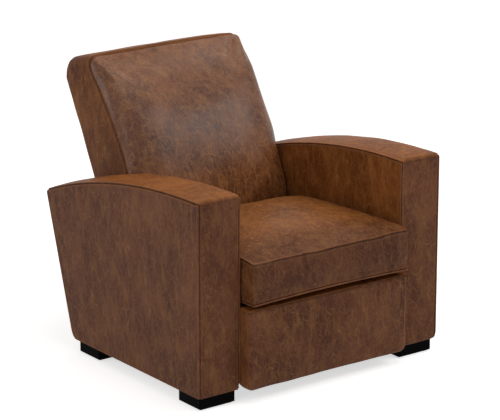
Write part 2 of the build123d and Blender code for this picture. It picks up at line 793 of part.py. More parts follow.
# ---------------------------------------------------------------- footrest
pad_half = 298.0
pad_low = 43.0
pad_top = 292.0
with BuildPart() as footrest_pad:
    with BuildSketch(front_plane(-5)) as pad_face:
        with Locations((0, (pad_low + pad_top) / 2)):
            Rectangle(2 * pad_half, pad_top - pad_low)
        fillet(pad_face.vertices().group_by(Axis.Y)[0], radius=26)
        fillet(pad_face.vertices().group_by(Axis.Y)[-1], radius=14)
    extrude(amount=35)
    fillet(footrest_pad.faces().sort_by(Axis.Y)[0].edges(), radius=12)
save(footrest_pad.part, "footrest_pad")

footrest_screw_spots = [(side * 256, z) for side, name in sides for z in (132.0, 180.0, 235.0)]
with BuildPart() as footrest_board:
    with BuildSketch(front_plane(10)):
        with Locations((0, (pad_low + pad_top) / 2)):
            RectangleRounded(2 * pad_half - 12, pad_top - pad_low - 12, 25)
    extrude(amount=15)
    with BuildSketch(front_plane(10)):
        with Locations(*footrest_screw_spots):
            Circle(2.55)
    extrude(amount=10, mode=Mode.SUBTRACT)
save(footrest_board.part, "footrest_board")

ear_outline = ((10, 120), (22, 120), (52, 190), (52, 204), (34.5, 258), (30, 267), (10, 267))
for side, name in sides:
    low = start(side, 247, 272.5)
    with BuildPart() as bracket:
        add(slab(side, 268.5, 272.5, ear_outline))
        add(block(low, low + 25.5, 10, 13, 120, 267))
        add(rods(side, 268, 273, (panel_hinge,), 4 + running), mode=Mode.SUBTRACT)
        add(rods(side, 268, 273, (panel_upper,), 4), mode=Mode.SUBTRACT)
        with BuildSketch(front_plane(14)):
            with Locations(*footrest_screw_spots):
                Circle(2.55)
        extrude(amount=5, mode=Mode.SUBTRACT)
    save(bracket.part, f"footrest_bracket_{name}")

with BuildPart() as footrest_screws:
    with BuildSketch(front_plane(15.5)):
        with Locations(*footrest_screw_spots):
            Circle(5)
    extrude(amount=2.5)
    with BuildSketch(front_plane(13)):
        with Locations(*footrest_screw_spots):
            Circle(2.5)
    extrude(amount=13)
screw_set = footrest_screws.part
upper_pins = []
for side, name in sides:
    upper_pins.append(rods(side, 264, 272.5, (panel_upper,), 4))
    upper_pins.append(rods(side, 261.5, 264, (panel_upper,), 7))
    upper_pins.append(rods(side, 268, 268.5, (panel_upper,), 6))
save(joined("footrest_fasteners", screw_set, *upper_pins), "footrest_fasteners")
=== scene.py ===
"""Looks of the cinema recliner seat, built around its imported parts.

Shapes are worked out in millimetres, with x across, y measured back from the arm fronts and z up,
and become metres in the shared frame when their mesh is made."""

import json
from math import acos, cos, pi, radians, sin, sqrt, tan

import bmesh
import bpy
import numpy as np
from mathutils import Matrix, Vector, kdtree, noise


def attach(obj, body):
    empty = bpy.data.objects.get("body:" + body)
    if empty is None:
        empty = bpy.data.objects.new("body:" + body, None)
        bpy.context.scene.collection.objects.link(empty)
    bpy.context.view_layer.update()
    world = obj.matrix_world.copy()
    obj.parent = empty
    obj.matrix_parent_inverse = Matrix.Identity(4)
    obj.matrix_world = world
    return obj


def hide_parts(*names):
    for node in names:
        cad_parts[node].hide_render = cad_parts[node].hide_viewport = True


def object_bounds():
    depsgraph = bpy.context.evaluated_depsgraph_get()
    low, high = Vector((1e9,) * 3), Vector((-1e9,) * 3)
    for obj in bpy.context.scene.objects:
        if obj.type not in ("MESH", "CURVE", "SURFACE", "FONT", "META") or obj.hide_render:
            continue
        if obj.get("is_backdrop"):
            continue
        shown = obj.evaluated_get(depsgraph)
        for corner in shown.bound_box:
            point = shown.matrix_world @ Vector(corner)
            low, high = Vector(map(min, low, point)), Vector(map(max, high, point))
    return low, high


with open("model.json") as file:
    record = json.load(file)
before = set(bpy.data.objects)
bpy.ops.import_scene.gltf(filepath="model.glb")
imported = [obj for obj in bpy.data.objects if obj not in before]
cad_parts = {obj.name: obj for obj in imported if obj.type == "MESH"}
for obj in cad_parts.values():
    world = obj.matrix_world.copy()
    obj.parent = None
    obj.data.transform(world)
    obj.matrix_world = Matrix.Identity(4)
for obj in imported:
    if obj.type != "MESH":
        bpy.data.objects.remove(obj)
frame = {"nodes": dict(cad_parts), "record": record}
cad_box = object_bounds()
nodes = frame["nodes"]

MIDDLE = 442.0  # y of the frame's own middle, measured back from the arm fronts
SIDES = ((1, "right"), (-1, "left"))


# ---------------------------------------------------------------- vectors, lines and loops
def unit(vectors):
    vectors = np.asarray(vectors, float)
    return vectors / np.maximum(np.linalg.norm(vectors, axis=-1, keepdims=True), 1e-9)


def smooth(value, low, high):
    """0 below low, 1 above high, and a soft step between. It falls where low is above high."""
    u = np.clip((np.asarray(value, float) - low) / (high - low), 0, 1)
    return u * u * (3 - 2 * u)


def bell(distance, width):
    return np.exp(-(distance / width) ** 2)


def away(distance, reach):
    """0 at an edge, and towards 1 well inside it."""
    return 1 - np.exp(-np.maximum(distance, 0) / reach)


def table(pairs, window=12):
    """Smoothed look-up through (place, value) pairs, which runs on straight past both ends."""
    margin = 60
    places, values = np.array(sorted(pairs), float).T
    grid = np.arange(places[0] - margin, places[-1] + margin + 1, 1.0)
    slope0 = (values[1] - values[0]) / (places[1] - places[0])
    slope1 = (values[-1] - values[-2]) / (places[-1] - places[-2])
    line = np.interp(grid, places, values)
    line = np.where(grid < places[0], values[0] + slope0 * (grid - places[0]), line)
    line = np.where(grid > places[-1], values[-1] + slope1 * (grid - places[-1]), line)
    kernel = np.ones(2 * window + 1) / (2 * window + 1)
    for _ in range(2):
        line = np.convolve(np.pad(line, window, mode="edge"), kernel, mode="valid")
    return lambda x: np.interp(x, grid, line)


def length_of(path):
    return np.linalg.norm(np.diff(path, axis=0), axis=1).sum()


def resample(line, count, grade=0.0):
    """Points along an open line, closer together at its ends by the grade."""
    line = np.asarray(line, float)
    along = np.r_[0, np.cumsum(np.linalg.norm(np.diff(line, axis=0), axis=1))]
    u = np.linspace(0, 1, count + 1)
    s = along[-1] * (u - grade * np.sin(2 * pi * u) / (2 * pi))
    return np.column_stack([np.interp(s, along, line[:, k]) for k in range(line.shape[1])])


def conic(start, corner, end, t):
    """Point at t of an arc from start to end, tangent to the two lines that meet at the corner."""
    one, two = unit(start - corner), unit(end - corner)
    weight = np.sqrt(np.clip((1 - (one * two).sum(-1, keepdims=True)) / 2, 0, 1))
    a, b, c = (1 - t) ** 2, 2 * weight * t * (1 - t), t ** 2
    return (a * start + b * corner + c * end) / (a + b + c)


def trimmed(line, head, tail):
    """Open line without its first and last stretch."""
    along = np.r_[0, np.cumsum(np.linalg.norm(np.diff(line, axis=0), axis=1))]
    stops = [head] + [s for s in along if head < s < along[-1] - tail] + [along[-1] - tail]
    return np.column_stack([np.interp(stops, along, line[:, k]) for k in range(2)])


HALF_ARC = 16  # steps along half a corner


def outline(sides, radii, counts, grade=0.8):
    """Closed loop of four sides with rounded corners, and its outward normals. It runs anticlockwise
    from the middle of the first corner's arc, and each count is the number of steps along one side."""
    sides = [np.asarray(side, float) for side in sides]
    arcs, reaches = [], []
    for index in range(4):
        corner = sides[index][0]
        one, two = unit(sides[index - 1][-2] - corner), unit(sides[index][1] - corner)
        reach = radii[index] / tan(acos(float(np.clip(one @ two, -1, 1))) / 2)
        arcs.append([conic(corner + one * reach, corner, corner + two * reach, t)
                     for t in np.linspace(0, 1, 2 * HALF_ARC + 1)])
        reaches.append(reach)
    parts = []
    for index in range(4):
        after = (index + 1) % 4
        middle = trimmed(sides[index], reaches[index], reaches[after])[1:-1]
        run = np.vstack([arcs[index][HALF_ARC:], middle, arcs[after][:HALF_ARC + 1]])
        parts.append(resample(run, counts[index], grade)[:-1])
    points = np.vstack(parts)
    along = unit(np.roll(points, -1, axis=0) - np.roll(points, 1, axis=0))
    return points, np.column_stack([along[:, 1], -along[:, 0]])


def rectangle(x0, x1, z0, z1):
    """Four sides for an outline."""
    return [((x0, z0), (x1, z0)), ((x1, z0), (x1, z1)), ((x1, z1), (x0, z1)), ((x0, z1), (x0, z0))]


# ---------------------------------------------------------------- skins
def coons(ring, counts):
    """Inner points of a closed ring of four sides, as a grid of rows from side to side."""
    n0, n1 = counts[0], counts[1]
    total = len(ring)
    low = ring[:n0 + 1]
    right = ring[n0:n0 + n1 + 1]
    high = ring[n0 + n1:2 * n0 + n1 + 1][::-1]
    left = np.vstack([ring[2 * n0 + n1:total], ring[:1]])[::-1]

    def share(line):
        run = np.r_[0, np.cumsum(np.linalg.norm(np.diff(line, axis=0), axis=1))]
        return run / run[-1]

    u = (share(low) + share(high)) / 2
    v = (share(left) + share(right)) / 2
    u, v = u[None, :, None], v[:, None, None]
    grid = (1 - v) * low[None] + v * high[None] + (1 - u) * left[:, None] + u * right[:, None]
    grid = grid - ((1 - u) * (1 - v) * ring[0] + u * (1 - v) * ring[n0]
                   + u * v * ring[n0 + n1] + (1 - u) * v * ring[2 * n0 + n1])
    return grid[1:-1, 1:-1]


def skin(rows, counts, first=None, last=None):
    """Vertices and faces of a closed skin: rings in a row, with a grid closing each end."""
    if first is None:
        first, last = coons(rows[0], counts), coons(rows[-1], counts)
    n0, n1 = counts[0], counts[1]
    total = 2 * (n0 + n1)
    verts = np.vstack([np.vstack(rows), first.reshape(-1, 3), last.reshape(-1, 3)])
    faces = []
    for k in range(len(rows) - 1):
        for i in range(total):
            j = (i + 1) % total
            faces.append((k * total + i, k * total + j, (k + 1) * total + j, (k + 1) * total + i))
    base = len(rows) * total
    for end, ring in ((0, 0), (1, (len(rows) - 1) * total)):
        offset = base + end * (n0 - 1) * (n1 - 1)

        def spot(i, j):
            if j == 0:
                return ring + i
            if i == n0:
                return ring + n0 + j
            if j == n1:
                return ring + 2 * n0 + n1 - i
            if i == 0:
                return ring + (total - j) % total
            return offset + (j - 1) * (n0 - 1) + (i - 1)

        for j in range(n1):
            for i in range(n0):
                quad = (spot(i, j), spot(i + 1, j), spot(i + 1, j + 1), spot(i, j + 1))
                faces.append(quad[::-1] if end == 0 else quad)
    return verts, faces


EDGE = np.linspace(0, 1, 12)  # steps round a rounded edge
BAND_GRADE = 0.75  # how much closer the rows of a band lie at its ends


def column(value, size):
    """A number, or one for each point, as a column."""
    return np.broadcast_to(np.asarray(value, float), size)[:, None]


def boxed(one, cap_one, edge_one, two, cap_two, edge_two, counts, band=12, puff=0.0):
    """A boxed form between two capped loops.

    Each loop is (points, normals), each cap turns the loop's own two numbers into a place in space, and
    each edge is (reach inwards, reach along the band) of its rounding. Returns vertices, faces, a function
    for a line along each rounded edge, where 0 is on the cap and 1 on the band, and the rows from the first
    cap to the second."""
    (loop_one, out_one), (loop_two, out_two) = one, two
    size = len(loop_one)
    in_one, down_one = (column(v, size) for v in edge_one)
    in_two, down_two = (column(v, size) for v in edge_two)
    puff = column(puff, size)
    corner_one, corner_two = cap_one(loop_one), cap_two(loop_two)
    across = unit(corner_two - corner_one)
    outward = unit(corner_two - cap_two(loop_two - out_two * 2.0))
    outward = unit(outward - across * (outward * across).sum(1, keepdims=True))
    rim_one, rim_two = loop_one - out_one * in_one, loop_two - out_two * in_two
    near, far = corner_one + across * down_one, corner_two - across * down_two

    def line_one(t):
        return conic(cap_one(rim_one), corner_one, near, column(t, size))

    def line_two(t):
        return conic(cap_two(rim_two), corner_two, far, column(t, size))

    rows = [line_one(t) for t in EDGE]
    stops = np.linspace(0, 1, band + 1)[1:-1]
    for t in stops - BAND_GRADE * np.sin(2 * pi * stops) / (2 * pi):
        rows.append(near + (far - near) * t + outward * puff * (1 - abs(2 * t - 1) ** 2.2))
    rows += [line_two(t) for t in EDGE[::-1]]
    inner_one = coons(rim_one, counts)
    inner_two = coons(rim_two, counts)
    first = cap_one(inner_one.reshape(-1, 2)).reshape(inner_one.shape[0], inner_one.shape[1], 3)
    last = cap_two(inner_two.reshape(-1, 2)).reshape(inner_two.shape[0], inner_two.shape[1], 3)
    verts, faces = skin(rows, counts, first, last)
    return verts, faces, line_one, line_two, rows


def linked(thing):
    bpy.context.scene.collection.objects.link(thing)
    return thing


def make_mesh(name, verts, faces):
    """Blender object in metres, with outward faces and smooth shading."""
    mesh = bpy.data.meshes.new(name)
    mesh.from_pydata(((np.asarray(verts) - (0, MIDDLE, 0)) * 0.001).tolist(), [], [list(f) for f in faces])
    bm = bmesh.new()
    bm.from_mesh(mesh)
    bmesh.ops.recalc_face_normals(bm, faces=bm.faces)
    bm.to_mesh(mesh)
    bm.free()
    mesh.polygons.foreach_set("use_smooth", [True] * len(mesh.polygons))
    mesh.update()
    return linked(bpy.data.objects.new(name, mesh))


def vertex_normals(verts, faces):
    """Outward normals of a closed skin of quads."""
    quads = np.array(faces)
    cross = np.cross(verts[quads[:, 2]] - verts[quads[:, 0]], verts[quads[:, 3]] - verts[quads[:, 1]])
    total = np.zeros_like(verts)
    for k in range(4):
        np.add.at(total, quads[:, k], cross)
    normals = unit(total)
    centre = verts.mean(0)
    if ((verts - centre) * normals).sum() < 0:
        normals = -normals
    return normals


def tree_of(points):
    tree = kdtree.KDTree(len(points))
    for index, point in enumerate(points):
        tree.insert(point, index)
    tree.balance()
    return tree


def seam_distance(verts, paths):
    """Distance of every vertex from the nearest seam, which is cut into steps of 2 mm."""
    tree = tree_of(np.vstack([resample(path, max(2, int(length_of(path) / 2))) for path in paths]))
    return np.array([tree.find(v)[2] for v in verts])


def rumple(verts, normals, size, height, seed):
    """Soft uneven swelling of padding under leather: broad waves, and finer ones of half their height."""
    shift = Vector((seed * 7.3, seed * 3.1, seed * 5.7))
    places = [Vector(v) / size for v in verts]
    lift = np.array([noise.noise(place + shift) + 0.5 * noise.noise(place * 2.3 + shift) for place in places])
    return verts + normals * (lift * height)[:, None]


def attribute(piece, name, values):
    layer = piece.data.attributes.new(name, "FLOAT", "POINT")
    layer.data.foreach_set("value", np.asarray(values, np.float32))


def spots_of(mesh):
    """Places of a mesh's points in millimetres."""
    spots = np.zeros(len(mesh.vertices) * 3)
    mesh.vertices.foreach_get("co", spots)
    return spots.reshape(-1, 3) * 1000 + (0, MIDDLE, 0)


def normals_of(piece):
    normals = np.zeros(len(piece.data.vertices) * 3)
    piece.data.vertices.foreach_get("normal", normals)
    return normals.reshape(-1, 3)


def painted_light_of(piece, painted_light_rule=None, power=1.5):
    """Painted warm light at every vertex: more on faces that look up, as if lit from above, and where asked.
    """
    normals = normals_of(piece)
    painted_light = np.clip(normals[:, 2], 0, 1) ** power
    if painted_light_rule is not None:
        painted_light = painted_light_rule(spots_of(piece.data), normals, painted_light)
    return np.clip(painted_light, 0, 1)


def closed(path):
    return np.vstack([path, path[:1]])


def tube(name, path, radius, ring=False, taper=0.0):
    """Round welt along a path. The radius is a number or a function of the points of the path."""
    step, sides = 4.5, 8
    line = resample(path, max(4, int(length_of(path) / step)))
    if ring:
        line = line[:-1]
        ahead = unit(np.roll(line, -1, axis=0) - np.roll(line, 1, axis=0))
    else:
        ahead = unit(np.gradient(line, axis=0))
    carried = unit(np.cross(ahead[0], (0.31, 0.72, 0.62)))  # a direction that no welt sets out in
    normals = []
    for direction in ahead:
        carried = unit(carried - direction * (carried @ direction))
        normals.append(carried)
    normals = np.array(normals)
    if ring:
        drift = np.cross(ahead[0], normals[0])
        angle = np.arctan2(normals[-1] @ drift, normals[-1] @ normals[0])
        spin = -angle * np.arange(len(line)) / len(line)
        side = np.cross(ahead, normals)
        normals = normals * np.cos(spin)[:, None] + side * np.sin(spin)[:, None]
    side = np.cross(ahead, normals)
    turn = np.linspace(0, 2 * pi, sides, endpoint=False)
    count = len(line)
    size = radius(line) if callable(radius) else np.full(count, radius)
    if taper and not ring:
        ends = np.minimum(np.arange(count), np.arange(count)[::-1]) * step
        size = size * np.clip(0.35 + 0.65 * ends / taper, 0, 1)
    around = normals[:, None] * np.cos(turn)[None, :, None] + side[:, None] * np.sin(turn)[None, :, None]
    verts = (line[:, None] + size[:, None, None] * around).reshape(-1, 3)
    faces = []
    for k in range(count if ring else count - 1):
        after = (k + 1) % count
        for i in range(sides):
            j = (i + 1) % sides
            faces.append((k * sides + i, k * sides + j, after * sides + j, after * sides + i))
    if not ring:
        faces.append(tuple(range(sides))[::-1])
        faces.append(tuple((count - 1) * sides + i for i in range(sides)))
    return make_mesh(name, verts, faces)


# ---------------------------------------------------------------- materials
def linear(colour):
    """Colour written as 0 to 255 screen values."""
    parts = [c / 255 for c in colour]
    return [c / 12.92 if c <= 0.04045 else ((c + 0.055) / 1.055) ** 2.4 for c in parts] + [1.0]


class Paint:
    """A material and short calls that add its nodes."""

    def __init__(self, name):
        self.material = bpy.data.materials.new(name)
        self.material.use_nodes = True
        self.tree = self.material.node_tree
        self.shader = self.tree.nodes["Principled BSDF"]

    def add(self, kind, values=(), **settings):
        node = self.tree.nodes.new("ShaderNode" + kind)
        for key, value in settings.items():
            setattr(node, key, value)
        for key, value in dict(values).items():
            self.put(node.inputs[key], value)
        return node

    def put(self, socket, value):
        if isinstance(value, bpy.types.NodeSocket):
            self.tree.links.new(value, socket)
        else:
            socket.default_value = value

    def place(self, scale, turn=(0.0, 0.0, 0.0)):
        """Object coordinates, turned and stretched."""
        where = self.add("TexCoord").outputs["Object"]
        if any(turn):
            where = self.add("Mapping", {"Vector": where, "Rotation": turn}).outputs["Vector"]
        return self.add("Mapping", {"Vector": where, "Scale": scale}).outputs["Vector"]

    def cloud(self, where, scale, detail=3.0, rough=0.55, bend=0.0):
        return self.add("TexNoise", {"Vector": where, "Scale": scale, "Detail": detail, "Roughness": rough,
                                     "Distortion": bend}).outputs["Fac"]

    def span(self, value, low, high, to_low=0.0, to_high=1.0):
        return self.add("MapRange", {"Value": value, "From Min": low, "From Max": high,
                                     "To Min": to_low, "To Max": to_high}).outputs["Result"]

    def math(self, kind, one, two=0.0):
        node = self.add("Math", operation=kind)
        self.put(node.inputs[0], one)
        self.put(node.inputs[1], two)
        return node.outputs[0]

    def vector(self, kind, *values):
        node = self.add("VectorMath", operation=kind)
        for socket, value in zip(node.inputs, values):
            self.put(socket, value)
        return node.outputs["Vector"]

    def mix(self, share, one, two):
        node = self.add("Mix", data_type="RGBA")
        self.put(node.inputs["Factor"], share)
        self.put(node.inputs[6], one)
        self.put(node.inputs[7], two)
        return node.outputs[2]

    def bump(self, height, distance, before=None):
        node = self.add("Bump", {"Height": height, "Distance": distance, "Strength": 1.0})
        if before is not None:
            self.put(node.inputs["Normal"], before)
        return node.outputs["Normal"]

    def set(self, **values):
        for key, value in values.items():
            self.put(self.shader.inputs[key.replace("_", " ")], value)
        return self.material


# Colours of the leather, as 0 to 255 screen values: each pair is the plain colour and the same with painted
# warm light, which the painted_light attribute mixes in.
DIRTY = (66, 38, 30), (86, 44, 17)
CLEAN = (109, 69, 51), (142, 84, 41)
RUBBED = (124, 86, 54), (160, 104, 54)
MARKED = (148, 106, 70), (184, 126, 70)
# The edge beside a seam is lighter for wear and as a painted highlight on the ridge there.
WORN_AND_HIGHLIT_EDGE = (122, 78, 54), (160, 100, 56)
SEAM_DARK = (26, 14, 9)

# Layers of marks: their turn, cells per metre, draw upwards, width in cells, and patches per metre.
WEBS = (((0.36, 0.36, 0.0), 62.0, 0.2, 0.05, 76.0), ((-0.42, -0.4, 0.2), 56.0, 0.2, 0.045, 64.0),
        ((0.08, -0.05, 0.5), 70.0, 0.16, 0.05, 80.0), ((1.0, 0.9, 0.3), 60.0, 0.3, 0.042, 56.0))


def leather(name, stretch=(1.0, 1.0, 1.0), shade=1.0, shine=0.05, rough=(0.42, 0.56), marks=(0.6, 0.5),
            fade=0.24):
    """Waxed pull-up leather: soft clouds, fine mottling, a web of fine curved tan scratches, dark seams,
    edges lighter for wear and painted highlight, and painted warm light.

    Shade scales the colours, shine is the specular level, rough the range of the roughness, marks their
    strength on faces without and with the painted warm light, and fade the softness of the clouds."""
    paint = Paint(name)
    plain = paint.place((1.0, 1.0, 1.0))
    drawn = paint.place(stretch)
    haze = paint.cloud(plain, 4.2, 2.0, 0.5)
    cloud = paint.cloud(drawn, 11.0, 3.0, 0.5, 0.3)
    mottle = paint.cloud(drawn, 46.0, 6.0, 0.68, 0.4)
    pores = paint.cloud(plain, 170.0, 4.0, 0.62)

    bend = paint.add("TexNoise", {"Vector": plain, "Scale": 14.0, "Detail": 1.0}).outputs["Color"]
    bend = paint.vector("MULTIPLY_ADD", bend, (0.014,) * 3, plain)

    def web(turn, cells, stretched, width, patches):
        """Thin marks that lean one way and come and go: the borders of long thin bent cells."""
        where = paint.add("Mapping", {"Vector": bend, "Rotation": turn}).outputs["Vector"]
        where = paint.add("Mapping", {"Vector": where, "Scale": (1.0, 1.0, stretched)}).outputs["Vector"]
        border = paint.add("TexVoronoi", {"Vector": where, "Scale": cells}, feature="DISTANCE_TO_EDGE")
        line = paint.span(border.outputs["Distance"], 0.0, width, 1.0, 0.0)
        return paint.math("MULTIPLY", line, paint.span(paint.cloud(where, patches, 3.0, 0.6), 0.42, 0.68))

    mark = web(*WEBS[0])
    for layer in WEBS[1:]:
        mark = paint.math("MAXIMUM", mark, web(*layer))
    streaked = paint.place((stretch[0], stretch[1], stretch[2] * 0.5), (0.12, 0.1, 0.0))
    rubbed = paint.span(paint.cloud(streaked, 34.0, 3.0, 0.6), 0.46, 0.74)
    depth = paint.math("ADD", paint.math("MULTIPLY", cloud, 0.55),
                       paint.math("ADD", paint.math("MULTIPLY", mottle, 0.42),
                                  paint.math("MULTIPLY", pores, 0.24)))
    depth = paint.math("ADD", depth, paint.math("MULTIPLY", haze, 0.6))
    dirt = paint.span(depth, 0.92 - fade, 0.92 + fade)
    # Painted warm light: faces that look up, as lit from above, and sides given painted bounce light are
    # drawn in the warm colours.
    painted_warm_light = paint.add("Attribute", attribute_name="painted_light").outputs["Fac"]
    seam = paint.add("Attribute", attribute_name="seam").outputs["Fac"]
    edge = paint.add("Attribute", attribute_name="edge").outputs["Fac"]

    # Each pair is mixed from its plain colour to its copy with painted warm light.
    def with_painted_light(pair):
        cool, hot = pair
        return paint.mix(painted_warm_light, linear([c * shade for c in cool]), linear([c * shade for c in hot]))

    strength = paint.span(painted_warm_light, 0.0, 1.0, *marks)
    colour = paint.mix(dirt, with_painted_light(DIRTY), with_painted_light(CLEAN))
    colour = paint.mix(paint.math("MULTIPLY", rubbed, 0.6), colour, with_painted_light(RUBBED))
    colour = paint.mix(paint.math("MULTIPLY", mark, strength), colour, with_painted_light(MARKED))
    # Lighter beside the seams and on the piping: wear, and a painted highlight on the ridge there.
    colour = paint.mix(paint.math("MULTIPLY", edge, 0.45), colour, with_painted_light(WORN_AND_HIGHLIT_EDGE))
    colour = paint.mix(paint.math("MULTIPLY", seam, 0.9), colour, linear(SEAM_DARK))
    grain = paint.add("TexVoronoi", {"Vector": plain, "Scale": 560.0}, feature="DISTANCE_TO_EDGE")
    normal = paint.bump(paint.span(grain.outputs["Distance"], 0.0, 0.25), 0.00006)
    normal = paint.bump(mottle, 0.0004, normal)
    normal = paint.bump(mark, 0.0001, normal)
    return paint.set(Base_Color=colour, Roughness=paint.span(mottle, 0.3, 0.7, *rough), Normal=normal,
                     Specular_IOR_Level=shine)


def timber(name, light, dark):
    """Plain wood with its grain along x."""
    paint = Paint(name)
    along = paint.place((3.0, 60.0, 60.0))
    ring = paint.cloud(along, 3.0, 4.0, 0.6, 1.2)
    pore = paint.cloud(paint.place((18.0, 400.0, 400.0)), 2.0, 2.0)
    colour = paint.mix(paint.span(ring, 0.35, 0.65), linear(dark), linear(light))
    colour = paint.mix(paint.span(pore, 0.62, 0.75, 0.0, 0.5), colour, linear([c * 0.6 for c in dark]))
    return paint.set(Base_Color=colour, Roughness=paint.span(ring, 0.3, 0.7, 0.6, 0.75),
                     Normal=paint.bump(pore, 0.0002))


def metal(name, colour, rough, metallic=1.0):
    """Brushed or plated metal with faint blotches."""
    paint = Paint(name)
    brushed = paint.cloud(paint.place((40.0, 500.0, 500.0)), 1.5, 3.0)
    blotch = paint.cloud(paint.place((1.0, 1.0, 1.0)), 30.0, 3.0)
    tint = paint.mix(paint.span(blotch, 0.35, 0.7), linear(colour), linear([c * 0.82 for c in colour]))
    return paint.set(Base_Color=tint, Metallic=metallic, Normal=paint.bump(brushed, 0.00005),
                     Roughness=paint.span(paint.math("ADD", brushed, blotch), 0.7, 1.3, rough, rough + 0.15))


def dull(name, colour, scale, rough, weave=0.0, shine=0.5):
    """Matt plastic, paint, felt or plain cloth."""
    paint = Paint(name)
    plain = paint.place((1.0, 1.0, 1.0))
    speck = paint.cloud(plain, scale, 4.0, 0.6)
    tint = paint.mix(paint.span(speck, 0.3, 0.7), linear([c * 0.8 for c in colour]), linear(colour))
    height = speck
    if weave:
        bands = [paint.add("TexWave", {"Vector": plain, "Scale": weave}, bands_direction=axis).outputs["Fac"]
                 for axis in "XY"]
        height = paint.math("ADD", speck, paint.math("MULTIPLY", bands[0], bands[1]))
    return paint.set(Base_Color=tint, Roughness=rough, Normal=paint.bump(height, 0.0002),
                     Specular_IOR_Level=shine)


hide = leather("leather_hide", shade=0.96, shine=0.045, rough=(0.3, 0.42), marks=(0.6, 1.0), fade=0.26)
hide_back = leather("leather_hide_back", shade=0.98, shine=0.23, rough=(0.24, 0.33), marks=(0.95, 0.95),
                    fade=0.17)
hide_side = leather("leather_hide_side", (1.0, 1.0, 0.75))
hide_front = leather("leather_hide_front", (1.0, 1.0, 0.85), marks=(0.68, 0.68), fade=0.28)
# The piping's leather is a little lighter, as a painted highlight on its round ridge.
welt_hide = leather("leather_welt", shade=1.06)
FINISH = {
    "leather": hide,
    "timber": timber("timber", (186, 142, 96), (150, 108, 68)),
    "foot_black": dull("foot_black", (4, 4, 4), 260.0, 0.6, shine=0.02),
    "nylon": dull("nylon", (26, 26, 27), 300.0, 0.45),
    "zinc_steel": metal("zinc_steel", (176, 178, 182), 0.32),
    "black_steel": metal("black_steel", (36, 36, 39), 0.45, 0.3),
    "spring_steel": metal("spring_steel", (120, 118, 116), 0.35),
    "felt": dull("felt", (92, 89, 84), 900.0, 0.95),
    "dust_cloth": dull("dust_cloth", (30, 30, 31), 500.0, 0.9, 700.0),
}
for part in frame["record"]["subparts"]:
    held = nodes[part["node"]].data.materials
    held.clear()
    held.append(FINISH[part["material_slot"]])
# Dark leather and cloth wrapped over what shows in the slits between the cushions, darker than the hide to
# paint the shade in the slits.
slit_shade_wrap = dull("slit_shade_wrap", (50, 30, 20), 300.0, 0.8, shine=0.05)
for name in ("seat_rail_front", "seat_rail_left", "seat_rail_right", "footrest_board"):
    nodes[name].data.materials.clear()
    nodes[name].data.materials.append(slit_shade_wrap)


# ---------------------------------------------------------------- finishing a piece
FAR = 99.0  # distance from seams of a piece that has none
FAINT = 0.35  # depth and darkness of a faint seam, where a full one has 1
RIDGE_AT, RIDGE_WIDTH, RIDGE = 5.0, 2.6, 0.7  # the leather stands up beside a seam
EDGE_AT, EDGE_WIDTH = 5.2, 2.4  # and is painted lighter there, for wear and as a painted highlight on the ridge


def dress(name, verts, faces, body, stands_for, paths=(), groove=2.6, material=hide, swell=(0.0, 60.0),
          seed=1, spread=2.4, painted_light_rule=None, power=1.5, faint=()):
    """Sinks the seams, adds slight swelling, and makes the piece that replaces its CAD nodes.

    Groove and spread are the depth and width of a seam, swell is (height, size) of the swelling, and
    painted_light_rule turns places, normals and painted light into the painted warm light that the leather is
    drawn with."""
    verts = np.asarray(verts, float)
    normals = vertex_normals(verts, faces)
    if swell[0]:
        verts = rumple(verts, normals, swell[1], swell[0], seed)
    near, aside = (seam_distance(verts, lines) if lines else np.full(len(verts), FAR)
                   for lines in (paths, faint))
    sunk = np.maximum(bell(near, spread), FAINT * bell(aside, spread))
    lift = RIDGE * bell(near - RIDGE_AT, RIDGE_WIDTH) - groove * sunk
    verts = verts + normals * lift[:, None]
    piece = make_mesh(name, verts, faces)
    piece.data.materials.append(material)
    attribute(piece, "seam", sunk)
    attribute(piece, "edge", bell(near - EDGE_AT, EDGE_WIDTH))
    # Painted warm light on faces that look up and where the rule asks.
    attribute(piece, "painted_light", painted_light_of(piece, painted_light_rule, power))
    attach(piece, body)
    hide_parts(*stands_for)
    return piece


def welt(name, path, radius, body, ring=False, taper=0.0):
    """Piping sewn along a seam."""
    piece = tube(name, path, radius, ring=ring, taper=taper)
    piece.data.materials.append(welt_hide)
    count = len(piece.data.vertices)
    attribute(piece, "seam", np.zeros(count))
    # The whole piping gets the lighter edge colour, for wear and as a painted highlight, and some painted
    # warm light.
    attribute(piece, "edge", np.full(count, 0.7))
    attribute(piece, "painted_light", painted_light_of(piece) * 0.6)
    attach(piece, body)
    return piece


VOXEL = 0.006  # edge of the cloth's faces, in metres
PRESSURE, STEPS = 4.0, 20
GRIP = 9.0  # how far a seam holds the leather beside it
NEIGHBOURS = 5


